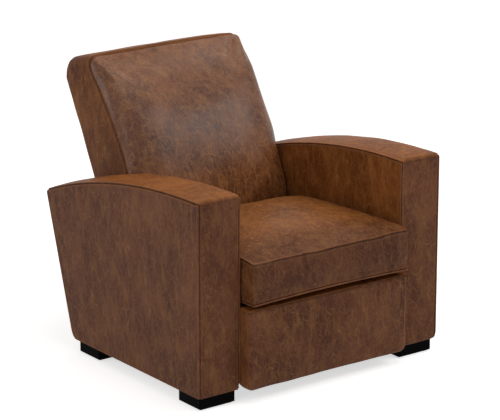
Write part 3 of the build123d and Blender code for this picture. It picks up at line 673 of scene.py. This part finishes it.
def settled(verts, faces, seams, rests, slack, cap):
    """Skin of a cushion after a filled copy of it, smaller by the slack, has been swelled as sewn cloth.

    It is held along its seams and where it rests, and no point moves further than the cap."""
    verts = np.asarray(verts, float)
    free = (1 - bell(seam_distance(verts, seams), GRIP)) * (1.0 - rests(verts))
    small = verts - vertex_normals(verts, faces) * (slack * free)[:, None]
    trial = make_mesh("trial", small, faces)
    voxels = trial.modifiers.new("voxels", "REMESH")
    voxels.mode, voxels.voxel_size = "VOXEL", VOXEL
    bag = bpy.data.meshes.new_from_object(trial.evaluated_get(bpy.context.evaluated_depsgraph_get()))
    trial.modifiers.clear()
    trial.data = bag
    start = spots_of(bag)
    pins = trial.vertex_groups.new(name="pins")
    grip = np.maximum(bell(seam_distance(start, seams), GRIP), rests(start))
    for index, weight in enumerate(grip):
        pins.add([index], float(weight), "REPLACE")
    cloth = trial.modifiers.new("cloth", "CLOTH")
    cloth.settings.vertex_group_mass = "pins"
    cloth.settings.use_pressure = True
    cloth.settings.uniform_pressure_force = PRESSURE
    cloth.settings.effector_weights.gravity = 0.0
    cloth.collision_settings.use_collision = False
    for number in range(1, STEPS + 1):
        bpy.context.scene.frame_set(number)
    swelled = trial.evaluated_get(bpy.context.evaluated_depsgraph_get()).to_mesh()
    move = spots_of(swelled) - start
    bpy.context.scene.frame_set(1)
    bpy.data.objects.remove(trial)
    bpy.data.meshes.remove(bag)
    move = move * np.minimum(1, cap / np.maximum(np.linalg.norm(move, axis=1), 1e-6))[:, None]
    tree = tree_of(start)
    out = small.copy()
    for index, point in enumerate(small):
        found = tree.find_n(point, NEIGHBOURS)
        weights = np.array([1 / (1.0 + distance ** 2) for _, _, distance in found])
        out[index] += (move[[k for _, k, _ in found]] * weights[:, None]).sum(0) / weights.sum()
    return out


# ---------------------------------------------------------------- arms
ARM_INNER, ARM_OUTER, ARM_BOTTOM, ARM_TOP = 302.0, 450.0, 38.0, 633.0
ARCH_RADIUS, ARCH_AT = 2090.0, 45.0
REAR_LOW_Y, REAR_HIGH_Y = 669.0, 805.0  # the sloping rear of the arms at its foot and at its top


def arch(y):
    """Height of the arms' curved top."""
    return ARM_TOP - ARCH_RADIUS + np.sqrt(ARCH_RADIUS ** 2 - (np.asarray(y, float) - ARCH_AT) ** 2)


ARM_COUNTS = (70, 46, 70, 46)
rear_foot, rear_top = (REAR_LOW_Y, ARM_BOTTOM), (REAR_HIGH_Y, float(arch(REAR_HIGH_Y)))
rear_run = (REAR_HIGH_Y - REAR_LOW_Y) / (rear_top[1] - ARM_BOTTOM)
arch_line = [(y, float(arch(y))) for y in np.linspace(REAR_HIGH_Y, 0.0, 60)]
arm_loop = outline([((0.0, ARM_BOTTOM), rear_foot), (rear_foot, rear_top), arch_line,
                    (arch_line[-1], (0.0, ARM_BOTTOM))], (10.0, 22.0, 14.0, 9.0), ARM_COUNTS)


def rear_slope(z, inset):
    """Distance back of the arms' sloping rear at height z, moved in by the inset."""
    return REAR_LOW_Y + rear_run * (z - ARM_BOTTOM) - inset * sqrt(1 + rear_run ** 2)


def arm_cap(x, lift):
    """Side of an arm at x, with its padding lifted in the middle."""
    def cap(points):
        y, z = points[:, 0], points[:, 1]
        rear = (rear_slope(z, 0.0) - y) * 0.97
        swell = lift
        for distance in (y, rear, arch(y) - z, z - ARM_BOTTOM):
            swell = swell * away(distance, 45.0)
        return np.column_stack([x + swell, y, z])
    return cap


# How much each point of an arm's loop belongs to its top, front, rear, face and lower edge.
points, out = arm_loop
up, ahead, behind = (np.clip(share, 0, 1) ** 2 for share in (out[:, 1], -out[:, 0], out[:, 0]))
face = ahead * (1 - up)
low, low_front = smooth(points[:, 1], 66, 42), ahead * smooth(points[:, 1], 70, 45)
inner_edge = (4.5 + 3.5 * up + 8.0 * low_front, 4.5 - up + 9.0 * face + 4.0 * low_front)
outer_edge = (4.0 + 5.0 * up + 5.0 * low, 4.0 + 7.0 * low)
puff = 4.5 * up + 1.5 * face + 2.5 * behind + 0.3
FRONT_CORNER = ARM_COUNTS[0] + ARM_COUNTS[1] + ARM_COUNTS[2] + 2


def stout(line):
    """Radius of the arms' piping: thicker down the front edges than over the arch."""
    return 1.6 + 1.6 * smooth(line[:, 1], 12, 2) * smooth(line[:, 2], 45, 60)


for side, name in SIDES:
    verts, faces, inner_line, outer_line, rows = boxed(
        arm_loop, arm_cap(side * ARM_INNER, -side * 2.5), inner_edge,
        arm_loop, arm_cap(side * ARM_OUTER, side * 2.5), outer_edge, ARM_COUNTS, band=16, puff=puff)
    inner_seam, outer_seam = inner_line(0.42 - 0.1 * up), outer_line(0.85 - 0.5 * up)
    front_seam = np.array([row[FRONT_CORNER] for row in rows[6:-6]])

    def inside(spots, normals, painted_light, side=side):
        """The sides that face the sitter get the painted warm light, standing in for light bounced off the
        leather around them.
        """
        return np.maximum(painted_light, 0.95 * np.clip(-side * normals[:, 0], 0, 1))

    dress(f"arm_{name}", verts, faces, "base", [f"arm_cover_{name}"],
          [closed(inner_seam), closed(outer_seam)], swell=(1.2, 120.0), seed=3 + side,
          material=hide_side, painted_light_rule=inside, faint=[front_seam], spread=1.9)

    welt(f"arm_welt_outer_{name}", closed(outer_line(0.4 - 0.33 * up)), lambda p: 0.65 + 0.65 * stout(p),
         "base", ring=True)
    welt(f"arm_welt_inner_{name}", closed(inner_line(0.08)), stout, "base", ring=True)


# ---------------------------------------------------------------- seat cushion
DECK_ANGLE = radians(2.2)
DECK_FRONT, DECK_HEIGHT = -51.0, 306.0
SEAT_START, SEAT_END = -4.0, 558.0  # the cushion along the deck, from front to rear
SEAM_HEIGHT, CROWN = 134.0, 44.0


def side_painted_light(spots, normals, painted_light):
    """Faces that look aside get a little painted warm light, more than the front."""
    return np.maximum(painted_light, 0.35 * np.abs(normals[:, 0]) ** 1.5)


def front_roll_painted_sheen(spots, normals, painted_light):
    """The seat's front roll gets less of the painted warm light, so it shows greyer than the rest of its top,
    as a painted sheen.
    """
    return side_painted_light(spots, normals, painted_light * (0.3 + 0.7 * smooth(spots[:, 1], -40, 120)))


def deck_place(x, along, up):
    """Place on the sloping deck."""
    y = DECK_FRONT + along * cos(DECK_ANGLE) + up * sin(DECK_ANGLE)
    z = DECK_HEIGHT - along * sin(DECK_ANGLE) + up * cos(DECK_ANGLE)
    return np.column_stack([x, y, z])


seat_half = table(((-4, 292), (40, 291.5), (70, 290), (326, 290), (446, 289), (526, 286), (558, 282)), 8)
SEAT_COUNTS = (60, 60, 60, 60)
right_edge = [(float(seat_half(a)), a) for a in np.linspace(SEAT_START, SEAT_END, 40)]
left_edge = [(-x, a) for x, a in right_edge[::-1]]
seat_loop = outline([(left_edge[-1], right_edge[0]), right_edge, (right_edge[-1], left_edge[0]), left_edge],
                    (6.5, 6.5, 16.0, 16.0), SEAT_COUNTS)


def seat_top(points):
    """Crowned top. Its seam drops at the front and at the rear, and ripples along the front."""
    x, along = points[:, 0], points[:, 1] - SEAT_START
    left = SEAT_END - SEAT_START - along
    half = seat_half(points[:, 1])
    crown = CROWN * away(along, 70.0) * away(left, 70.0)
    across = 0.72 * away(half - np.abs(x), 34.0) + 0.28 * (1 - (x / half) ** 2)
    seam = SEAM_HEIGHT - 8.0 * np.exp(-along / 40.0) - 14.0 * np.exp(-left / 40.0)
    front = np.exp(-np.maximum(along, 0) / 22.0)
    ripple = (1.0 * np.sin(x / 31.0) + 0.7 * np.sin(x / 17.0 + 1.0) - 3.0 * (1 - (x / half) ** 2)) * front
    return deck_place(x, points[:, 1], seam + crown * across + ripple)


def seat_under(points):
    """Underside, arched a little along its front edge."""
    x, along = points[:, 0], points[:, 1] - SEAT_START
    arched = 6.5 * (1 - (x / 292.0) ** 2) * np.exp(-np.maximum(along, 0) / 30.0)
    return deck_place(x, points[:, 1], 1.0 + arched)


def on_the_deck(spots):
    """The cushion's underside and its lower edge stay where they are."""
    return spots[:, 2] < 320.0 - (spots[:, 1] - DECK_FRONT) * 0.038


verts, faces, low_line, high_line, rows = boxed(
    seat_loop, seat_under, (6.0, 6.0), seat_loop, seat_top, (5.0, 4.5), SEAT_COUNTS, band=14, puff=3.0)
low_seam, high_seam = low_line(0.75), high_line(0.55)
corner_seams = [np.array([row[index] for row in rows[6:-6]]) for index in (3, SEAT_COUNTS[0] - 3)]
seat_seams = [closed(low_seam), closed(high_seam)]
verts = settled(verts, faces, seat_seams, on_the_deck, 4.0, 24.0)
dress("seat_pad", verts, faces, "seat", ["seat_cushion"], seat_seams, swell=(2.0, 110.0), seed=11,
      painted_light_rule=front_roll_painted_sheen, faint=corner_seams)
welt("seat_welt_top", closed(high_line(0.1)), 1.7, "seat", ring=True)
welt("seat_welt_low", closed(low_line(0.42)), 2.6, "seat", ring=True)


# ---------------------------------------------------------------- backrest
SEAM_POINTS = np.array([(532, 290), (544, 410), (557, 464), (575, 497), (598, 553), (617, 604), (640, 643),
                        (676, 701), (713, 748), (750, 794.5), (782, 832), (800, 868), (809, 889)], float)
seam_at = table([(z, y) for y, z in SEAM_POINTS], 12)
bulge_at = table(((300, 14), (350, 20), (410, 28), (480, 36), (553, 40), (620, 43), (690, 49), (750, 60),
                  (800, 66), (845, 61), (870, 46), (888, 18)), 6)
soft_at = table(((300, 26), (553, 26), (620, 23), (690, 18), (750, 14), (800, 12), (888, 11)), 14)
BACK_HALF, PILLOW_HALF = 287.0, 286.0
BACK_COUNTS = (60, 64, 60, 64)
BACK_LOW, BACK_HIGH = 291.0, 888.0
BACK_TOP = 889

# pillow: the crowned front cushion
pillow_front = outline(rectangle(-PILLOW_HALF, PILLOW_HALF, BACK_LOW, BACK_HIGH), (8.0, 8.0, 28.0, 28.0),
                       BACK_COUNTS)
pillow_back = outline(rectangle(-278, 278, BACK_LOW + 8, BACK_HIGH - 8), (6.0, 6.0, 20.0, 20.0), BACK_COUNTS)


def pillow_face(points):
    """Front of the pillow, which rises from its seam quickly at the top and softly lower down."""
    x, z = points[:, 0], points[:, 1]
    rise = np.maximum(bulge_at(z), 0) * away(PILLOW_HALF - np.abs(x), soft_at(z))
    return np.column_stack([x, seam_at(z) - rise, z - top_fall(x, z)])


def pillow_rear(points):
    x, z = points[:, 0], points[:, 1]
    return np.column_stack([x, seam_at(z) + 5.0, z - top_fall(x, z)])


def top_fall(x, z):
    """Drop of the top edge towards its corners."""
    return 4.5 * np.abs(x / BACK_HALF) ** 3 * smooth(z, 790, 880)


def back_painted_light(spots, normals, painted_light):
    """Painted warm light and shade on the pillow: warmer towards the seat, for the warm shade there, and on
    the edge that faces right and turns away from the lamps.
    """
    low, right = smooth(spots[:, 2], 690, 500), np.clip(normals[:, 0], 0, 1) ** 1.5
    return np.maximum.reduce([painted_light, 0.55 * low, 0.8 * right])


def behind_the_seam(spots):
    return spots[:, 1] > seam_at(spots[:, 2]) + 1.0


verts, faces, _, pillow_line, _ = boxed(
    pillow_back, pillow_rear, (3.0, 3.0), pillow_front, pillow_face, (5.0, 4.0), BACK_COUNTS, band=5)
pillow_seam = [closed(pillow_line(1.0))]
verts = settled(verts, faces, pillow_seam, behind_the_seam, 1.5, 26.0)
dress("back_pillow", verts, faces, "backrest", ["back_cushion"], pillow_seam, swell=(2.2, 130.0), seed=21,
      groove=1.5, painted_light_rule=back_painted_light, power=4.0, material=hide_back)

# boxed shell: sides, top and rear in one cover
REAR_LOW, REAR_TOP = np.array((657.0, 234.0)), np.array((957.0, 849.2))
FRONT_TOP = np.array((809.0, float(BACK_TOP)))
LINE_STEPS = 400
rear_along = unit(REAR_TOP - REAR_LOW)
top_along = unit(FRONT_TOP - REAR_TOP)
ROUND = 38.0
reach = ROUND / tan(acos(float(-rear_along @ top_along)) / 2)
arc = np.array([conic(REAR_TOP - rear_along * reach, REAR_TOP, REAR_TOP + top_along * reach, t)
                for t in np.linspace(0, 1, 25)])
edge_top = resample(np.vstack([arc, FRONT_TOP[None]]), LINE_STEPS)
edge_low = resample(np.array([REAR_LOW, SEAM_POINTS[0]]), LINE_STEPS)
edge_rear = resample(np.array([REAR_LOW, arc[0]]), LINE_STEPS)
heights = np.linspace(290, BACK_TOP, LINE_STEPS + 1)
edge_front = resample(np.column_stack([seam_at(heights), heights]), LINE_STEPS)


def pick(line, t):
    """Points at the shares t along one of the four edges."""
    place = np.clip(np.asarray(t, float), 0, 1) * LINE_STEPS
    return np.column_stack([np.interp(place, np.arange(LINE_STEPS + 1), line[:, k]) for k in range(2)])


def side_view(t, v):
    """Place in the side view of the boxed back: t from rear to front, v from bottom to top."""
    t = np.broadcast_to(t, v.shape)
    patch = ((1 - t)[:, None] * pick(edge_rear, v) + t[:, None] * pick(edge_front, v)
             + (1 - v)[:, None] * pick(edge_low, t) + v[:, None] * pick(edge_top, t))
    corners = ((1 - t) * (1 - v))[:, None] * REAR_LOW + (t * (1 - v))[:, None] * SEAM_POINTS[0]
    corners = corners + ((1 - t) * v)[:, None] * arc[0] + (t * v)[:, None] * FRONT_TOP
    return patch - corners


HEIGHT = 620.0  # of the shell's rings, before side_view bends them
DEPTH = 150.0
REAR_ROUND, FRONT_ROUND = 12.0, 5.0
SWELL_POWER = 2.4
shell_rows = []
shell_steps = (0.0, 0.004, 0.013, 0.027, 0.045, 0.065, 0.09, 0.13, 0.19, 0.27, 0.37, 0.48, 0.6, 0.71, 0.8,
               0.87, 0.92, 0.95, 0.967, 0.98, 0.99, 1.0)
for t in shell_steps:
    depth = t * DEPTH
    rear_in = REAR_ROUND - sqrt(max(0.0, REAR_ROUND ** 2 - (REAR_ROUND - min(depth, REAR_ROUND)) ** 2))
    front_in = FRONT_ROUND - sqrt(max(0.0, FRONT_ROUND ** 2 - max(0.0, depth - (DEPTH - FRONT_ROUND)) ** 2))
    bulge = 1 - abs(2 * t - 1) ** SWELL_POWER
    half = BACK_HALF - rear_in - front_in + 3.5 * bulge
    ring, _ = outline(rectangle(-half, half, 0.0, HEIGHT - front_in), (6.0, 6.0, 30.0, 30.0), BACK_COUNTS)
    spots = side_view(t, ring[:, 1] / HEIGHT)
    lift = smooth(ring[:, 1] / HEIGHT, 0.93, 0.995) * 5.0 * bulge * (t > 0.1)
    lift = lift - top_fall(ring[:, 0], BACK_TOP - HEIGHT + ring[:, 1])
    shell_rows.append(np.column_stack([ring[:, 0], spots[:, 0], spots[:, 1] + lift]))
# The front of the shell is tucked in behind the pillow.
ring, _ = outline(rectangle(-277.0, 277.0, 6.0, HEIGHT - 10.0), (5.0, 5.0, 22.0, 22.0), BACK_COUNTS)
spots = side_view(1.0, ring[:, 1] / HEIGHT)
for depth in (3.0, 14.0):
    shell_rows.append(np.column_stack([ring[:, 0], spots[:, 0] + depth,
                                       spots[:, 1] - top_fall(ring[:, 0], BACK_TOP - HEIGHT + ring[:, 1])]))
verts, faces = skin(shell_rows, BACK_COUNTS)
rear_seam, front_seam = shell_rows[4], shell_rows[len(shell_steps) - 3]
dress("back_shell", verts, faces, "backrest", ["back_cover"], [closed(rear_seam), closed(front_seam)],
      swell=(1.4, 120.0), seed=31, material=hide_side, painted_light_rule=side_painted_light, power=6.0, spread=1.6,
      groove=1.6)
welt("back_welt_front", closed(pillow_line(0.75)), 0.9, "backrest", ring=True)
welt("back_welt_rear", closed(shell_rows[2]), 1.8, "backrest", ring=True)


# ---------------------------------------------------------------- footrest pad
PAD_COUNTS = (60, 30, 60, 30)
PAD_HALF, PAD_LOW, PAD_HIGH = 300.6, 41.0, 291.0
pad_loop = outline(rectangle(-PAD_HALF, PAD_HALF, PAD_LOW, PAD_HIGH), (24.0, 22.0, 5.0, 5.0), PAD_COUNTS)


def pad_face(points):
    x, z = points[:, 0], points[:, 1]
    rise = 4.5
    for distance in (PAD_HALF - np.abs(x), z - PAD_LOW, PAD_HIGH - z):
        rise = rise * away(distance, 40.0)
    return np.column_stack([x, -40.0 - rise, z])


def pad_rear(points):
    """Rear of the pad on its board, with a flange that wraps round the board's edges."""
    x, z = points[:, 0], points[:, 1]
    edge = np.minimum(PAD_HALF - np.abs(x), np.minimum(PAD_HIGH - z, z - PAD_LOW))
    return np.column_stack([x, -2.5 + 12.0 * (1 - smooth(edge, 4.5, 8.0)), z])


points, out = pad_loop
upper = np.clip(out[:, 1], 0, 1) ** 2
verts, faces, _, pad_line, _ = boxed(
    pad_loop, pad_rear, (2.0, 2.0), pad_loop, pad_face, (16.0 - 9.0 * upper, 14.0 - 8.0 * upper), PAD_COUNTS,
    band=8, puff=0.5)


def round_the_corners(line, drop):
    """Runs a front line on over both upper corners to the rear of the pad."""
    run = line[points[:, 1] > PAD_HIGH - 4.5]
    run = run[np.argsort(run[:, 0])]
    ends = [np.array([(side * (PAD_HALF + 0.2), y, PAD_HIGH - drop) for y in (-8.0, -18.0, -28.0)])
            for side in (-1, 1)]
    return np.vstack([ends[0], run, ends[1][::-1]])


def on_the_board(spots):
    """What lies on the board and its edges stays, and the sides give less towards it."""
    return np.maximum(spots[:, 1] > -22.0, smooth(np.abs(spots[:, 0]), 262, 290))


pad_seam = round_the_corners(pad_line(0.1), 7.0)
side_lines = [np.array([(side * PAD_HALF, -5.0, z) for z in (66.0, 284.0)]) for side in (-1, 1)]
verts = settled(verts, faces, [closed(pad_line(0.9))], on_the_board, 2.0, 10.0)
dress("footrest_cushion", verts, faces, "footrest", ["footrest_pad"], side_lines, faint=[pad_seam],
      swell=(1.6, 110.0), seed=41, material=hide_front, groove=2.4, painted_light_rule=side_painted_light)
welt("footrest_welt", round_the_corners(pad_line(0.42), 3.0), 1.2, "footrest", taper=20.0)


# ---------------------------------------------------------------- rear panel, deck felt and dust cloth
PANEL_COUNTS = (30, 8, 30, 8)
PANEL_HALF = 301.0
panel_rows = []
for x in resample(np.array([(-PANEL_HALF, 0.0), (PANEL_HALF, 0.0)]), 30, 0.8)[:, 0]:
    lift = 3.0 * (1 - abs(x / PANEL_HALF) ** 3)
    face = [(rear_slope(z, 1.0 - lift * sin(pi * (z - 45) / 245.0)), z) for z in np.linspace(45, 290, 20)]
    crest = [(rear_slope(290, 1.0), 290.0), (rear_slope(293, 2.5), 293.0), (rear_slope(294, 5), 294.0),
             (rear_slope(294, 17), 294.0), (rear_slope(292, 20), 292.0), (rear_slope(288.3, 20), 288.3)]
    inner = [(rear_slope(288.3, 20), 288.3), (rear_slope(288.3, 8.2), 288.3), (rear_slope(45, 7.9), 45.0)]
    base = [(rear_slope(45, 7.9), 45.0), (rear_slope(45, 1.0), 45.0)]
    ring = np.vstack([resample(line, count)[:-1]
                      for line, count in zip((face, crest, inner, base), PANEL_COUNTS)])
    panel_rows.append(np.column_stack([np.full(len(ring), x), ring]))
verts, faces = skin(panel_rows, PANEL_COUNTS)
dress("rear_panel_skin", verts, faces, "base", ["rear_panel_cover"], swell=(0.8, 90.0), seed=51,
      material=hide_side)

FELT_COUNTS = (40, 40, 40, 40)
felt_loop = outline(rectangle(-281, 281, 61, 573), (5.0,) * 4, FELT_COUNTS)
verts, faces, *_ = boxed(
    felt_loop, lambda p: deck_place(p[:, 0], p[:, 1], np.full(len(p), -6.0)), (2.0, 2.0),
    felt_loop, lambda p: deck_place(p[:, 0], p[:, 1], np.full(len(p), -0.2)), (2.0, 2.0), FELT_COUNTS, band=3)
dress("deck_felt", verts, faces, "seat", ["seat_deck_pad"], swell=(0.3, 40.0), seed=61,
      material=FINISH["felt"])

CLOTH_COUNTS = (40, 30, 40, 30)
cloth_loop = outline(rectangle(-300, 300, 226, 647), (3.0,) * 4, CLOTH_COUNTS)


def cloth_sag(points):
    """How far the dust cloth hangs between its stapled edges."""
    x, y = points[:, 0], points[:, 1]
    return 3.5 * np.clip(1 - (x / 300.0) ** 4, 0, 1) * np.clip(1 - ((y - 436.5) / 211.0) ** 4, 0, 1)


verts, faces, *_ = boxed(
    cloth_loop, lambda p: np.column_stack([p[:, 0], p[:, 1], 43.6 - cloth_sag(p)]), (0.3, 0.3), cloth_loop,
    lambda p: np.column_stack([p[:, 0], p[:, 1], 44.8 - cloth_sag(p)]), (0.3, 0.3), CLOTH_COUNTS, band=2)
dust = dress("dust_cloth_sheet", verts, faces, "base", ["dust_cover"], material=FINISH["dust_cloth"])


# ---------------------------------------------------------------- floor, light and camera
def emitter_paths(tree):
    """1 for rays that should see the plain white surroundings."""
    path = tree.nodes.new("ShaderNodeLightPath")
    total = path.outputs["Is Camera Ray"]
    for name in ("Is Glossy Ray", "Is Transmission Ray"):
        node = tree.nodes.new("ShaderNodeMath")
        node.operation = "MAXIMUM"
        tree.links.new(total, node.inputs[0])
        tree.links.new(path.outputs[name], node.inputs[1])
        total = node.outputs[0]
    return total


world = bpy.data.worlds.new("studio")
bpy.context.scene.world = world
world.use_nodes = True
tree = world.node_tree
soft = tree.nodes["Background"]
soft.inputs["Color"].default_value = (1.0, 0.98, 0.96, 1.0)
soft.inputs["Strength"].default_value = 0.44
white = tree.nodes.new("ShaderNodeBackground")
white.inputs["Color"].default_value = (1, 1, 1, 1)
white.inputs["Strength"].default_value = 1.0
choose = tree.nodes.new("ShaderNodeMixShader")
tree.links.new(emitter_paths(tree), choose.inputs[0])
tree.links.new(soft.outputs[0], choose.inputs[1])
tree.links.new(white.outputs[0], choose.inputs[2])
tree.links.new(choose.outputs[0], tree.nodes["World Output"].inputs["Surface"])

REACH = 30
floor_mesh = bpy.data.meshes.new("floor")
floor_mesh.from_pydata([(-REACH, -REACH, 0), (REACH, -REACH, 0), (REACH, REACH, 0), (-REACH, REACH, 0)], [],
                       [(0, 1, 2, 3)])
floor = linked(bpy.data.objects.new("floor", floor_mesh))
pale = Paint("floor_pale")
pale.set(Roughness=0.9, Specular_IOR_Level=0.1, Base_Color=linear((240, 240, 240)))
glow = pale.add("Emission", {"Color": (1, 1, 1, 1),
                             "Strength": pale.math("MULTIPLY", emitter_paths(pale.tree), 0.62)})
blend = pale.add("AddShader")
pale.put(blend.inputs[0], pale.shader.outputs[0])
pale.put(blend.inputs[1], glow.outputs[0])
pale.put(pale.tree.nodes["Material Output"].inputs["Surface"], blend.outputs[0])
floor_mesh.materials.append(pale.material)
floor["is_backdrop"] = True


def lamp(name, place, aim, size, power, colour):
    """Soft box at a place, aimed at another."""
    data = bpy.data.lights.new(name, "AREA")
    data.shape = "RECTANGLE"
    data.size, data.size_y = size
    data.energy = power
    data.color = colour
    light = linked(bpy.data.objects.new(name, data))
    light.location = place
    light.rotation_euler = (Vector(aim) - Vector(place)).to_track_quat("-Z", "Y").to_euler()


lamp("rear_light", (1.9, 0.1, 3.0), (0.1, -0.3, 0.45), (0.7, 0.7), 8, (1.0, 0.97, 0.93))
lamp("top_light", (0.1, -0.5, 3.2), (0, 0, 0.4), (1.5, 1.5), 22.5, (1.0, 0.94, 0.86))
lamp("left_light", (-2.65, -1.5, 1.5), (0, 0, 0.6), (0.8, 1.1), 8.2, (0.97, 0.98, 1.0))
lamp("window_light", (-3.1, 1.37, 0.75), (-0.2, 0.1, 0.6), (0.4, 1.2), 12, (0.97, 0.98, 1.0))
lamp("right_light", (2.1, -2.1, 2.45), (0, 0.1, 0.6), (1.1, 1.1), 25.5, (1.0, 0.98, 0.95))

# The camera that was fitted to the photograph.
azimuth, elevation, distance = radians(-36.73), radians(16.76), 7.953
target = Vector((-0.00475, -0.09183, 0.45169))
sight = Vector((sin(azimuth) * cos(elevation), -cos(azimuth) * cos(elevation), sin(elevation)))
camera_data = bpy.data.cameras.new("camera")
camera_data.sensor_width = 36.0
camera_data.lens = 187.44
camera_data.clip_end = 200.0
camera = linked(bpy.data.objects.new("camera", camera_data))
camera.location = target + sight * distance
camera.rotation_euler = (-sight).to_track_quat("-Z", "Y").to_euler()
bpy.context.scene.camera = camera
bpy.context.scene.view_settings.view_transform = "Standard"


def plain_list(value):
    """Nested plain lists, for json."""
    return [plain_list(v) for v in value] if hasattr(value, "__len__") else float(value)


{"cad": plain_list(cad_box), "visual": plain_list(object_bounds())}
